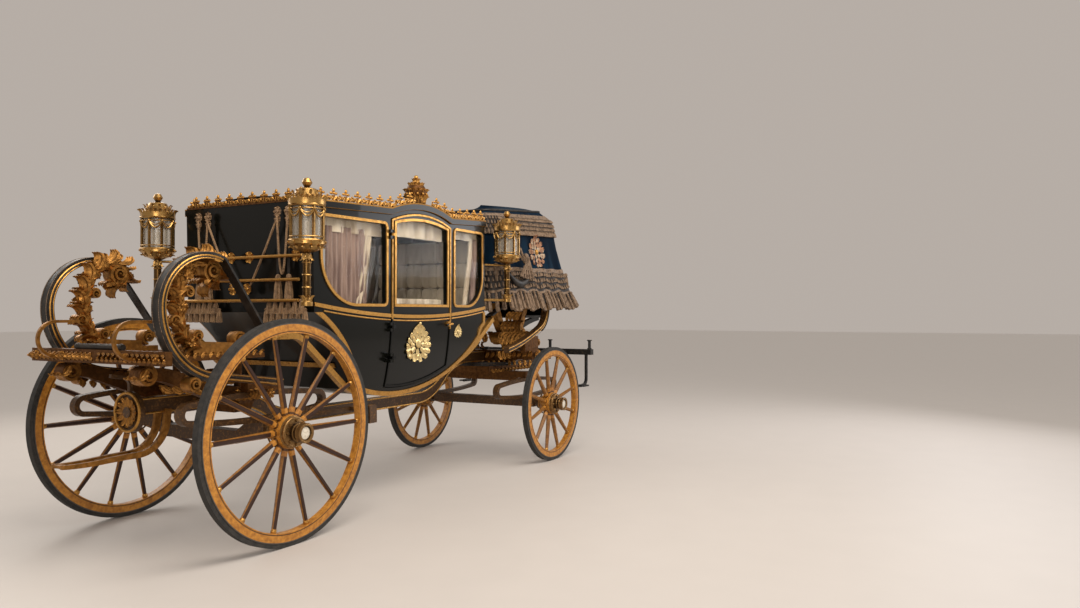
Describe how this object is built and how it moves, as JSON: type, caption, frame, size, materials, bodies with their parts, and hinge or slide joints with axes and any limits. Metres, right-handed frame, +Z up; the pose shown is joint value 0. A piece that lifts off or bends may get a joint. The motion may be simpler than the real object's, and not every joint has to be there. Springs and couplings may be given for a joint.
{
  "type": "horse drawn state coach",
  "caption": "Closed state coach slung on C-springs and leather braces, with gilt mouldings, lamps, draped box seat and footmen's platform.",
  "frame": {"origin": "on the floor, on the centre plane, midway between the axles and between the coach's ends", "axes": "+X forward along the coach, +Y to its left, +Z up"},
  "size_m": [5.4071, 1.852, 2.5048],
  "materials": {
    "coach_lacquer": "gloss varnish, very dark green-black",
    "clear_glass": "clear polished plate",
    "gilt_moulding": "burnished gilding",
    "carved_gilt": "antique gilding over carved wood",
    "wheel_gilt": "ochre-gold paint, dark brown in the hollows",
    "tyre_rubber": "worn matt grey",
    "lamp_brass": "polished, aged",
    "spring_iron": "gilt paint with dark edges",
    "black_iron": "satin black",
    "black_leather": "waxed harness leather",
    "navy_velvet": "deep pile",
    "seat_frame_wood": "painted frame",
    "cream_silk": "silk upholstery",
    "silver_braid": "woven lace and tassels"
  },
  "bodies": {
    "chassis": {"body_bottom": "coach_lacquer", "body_back_panel": "coach_lacquer", "body_front_panel": "coach_lacquer", "side_panel_left": "coach_lacquer", "side_panel_right": "coach_lacquer", "body_glass": "clear_glass", "body_mouldings": "gilt_moulding", "door_hinges": "gilt_moulding", "roof": "coach_lacquer", "roof_gallery": "gilt_moulding", "seat_boxes": "seat_frame_wood", "seat_cushions": "cream_silk", "c_springs_rear": "spring_iron", "c_springs_front": "spring_iron", "leather_braces": "black_leather", "body_loops": "spring_iron", "perch": "wheel_gilt", "rear_axle": "black_iron", "rear_bed": "carved_gilt", "rear_platform": "gilt_moulding", "rear_irons": "gilt_moulding", "rear_standards": "carved_gilt", "rear_rails": "gilt_moulding", "footman_holders": "silver_braid", "lamps_rear": "lamp_brass", "lamps_front": "lamp_brass", "lamp_glass": "clear_glass", "front_transom": "carved_gilt", "wheel_plate_upper": "black_iron", "toe_board": "black_leather", "hammercloth": "navy_velvet", "box_frame": "carved_gilt", "under_springs_rear": "spring_iron", "brake_gear": "spring_iron"},
    "fore_carriage": {"wheel_plate_lower": "black_iron", "fore_bed": "wheel_gilt", "front_axle": "black_iron", "king_bolt": "black_iron", "futchells": "wheel_gilt", "splinter_bar": "wheel_gilt", "step_irons": "spring_iron", "under_springs_front": "spring_iron"},
    "wheel_rear_left": {"wheel_rear_left_tyre": "tyre_rubber", "wheel_rear_left_wood": "wheel_gilt", "wheel_rear_left_hub": "lamp_brass"},
    "wheel_rear_right": {"wheel_rear_right_tyre": "tyre_rubber", "wheel_rear_right_wood": "wheel_gilt", "wheel_rear_right_hub": "lamp_brass"},
    "wheel_front_left": {"wheel_front_left_tyre": "tyre_rubber", "wheel_front_left_wood": "wheel_gilt", "wheel_front_left_hub": "lamp_brass"},
    "wheel_front_right": {"wheel_front_right_tyre": "tyre_rubber", "wheel_front_right_wood": "wheel_gilt", "wheel_front_right_hub": "lamp_brass"},
    "door_left": {"door_left": "coach_lacquer", "door_left_glass": "clear_glass", "door_left_trim": "gilt_moulding"},
    "door_right": {"door_right": "coach_lacquer", "door_right_glass": "clear_glass", "door_right_trim": "gilt_moulding"}
  },
  "joints": [
    {"name": "wheel_rear_left_spin", "type": "hinge", "parent": "chassis", "child": "wheel_rear_left", "pos_m": [-1.72, 0.764, 0.7], "axis": [0, 1, 0], "continuous": true},
    {"name": "wheel_rear_right_spin", "type": "hinge", "parent": "chassis", "child": "wheel_rear_right", "pos_m": [-1.72, -0.764, 0.7], "axis": [0, 1, 0], "continuous": true},
    {"name": "steering", "type": "hinge", "parent": "chassis", "child": "fore_carriage", "pos_m": [1.72, 0, 0.83], "axis": [0, 0, 1], "range_deg": [-30, 30]},
    {"name": "wheel_front_left_spin", "type": "hinge", "parent": "fore_carriage", "child": "wheel_front_left", "pos_m": [1.72, 0.764, 0.55], "axis": [0, 1, 0], "continuous": true},
    {"name": "wheel_front_right_spin", "type": "hinge", "parent": "fore_carriage", "child": "wheel_front_right", "pos_m": [1.72, -0.764, 0.55], "axis": [0, 1, 0], "continuous": true},
    {"name": "door_left_hinge", "type": "hinge", "parent": "chassis", "child": "door_left", "pos_m": [-0.597, 0.684, 1.5], "axis": [0, 0, 1], "range_deg": [0, 85]},
    {"name": "door_right_hinge", "type": "hinge", "parent": "chassis", "child": "door_right", "pos_m": [-0.597, -0.684, 1.5], "axis": [0, 0, -1], "range_deg": [0, 85]}
  ]
}
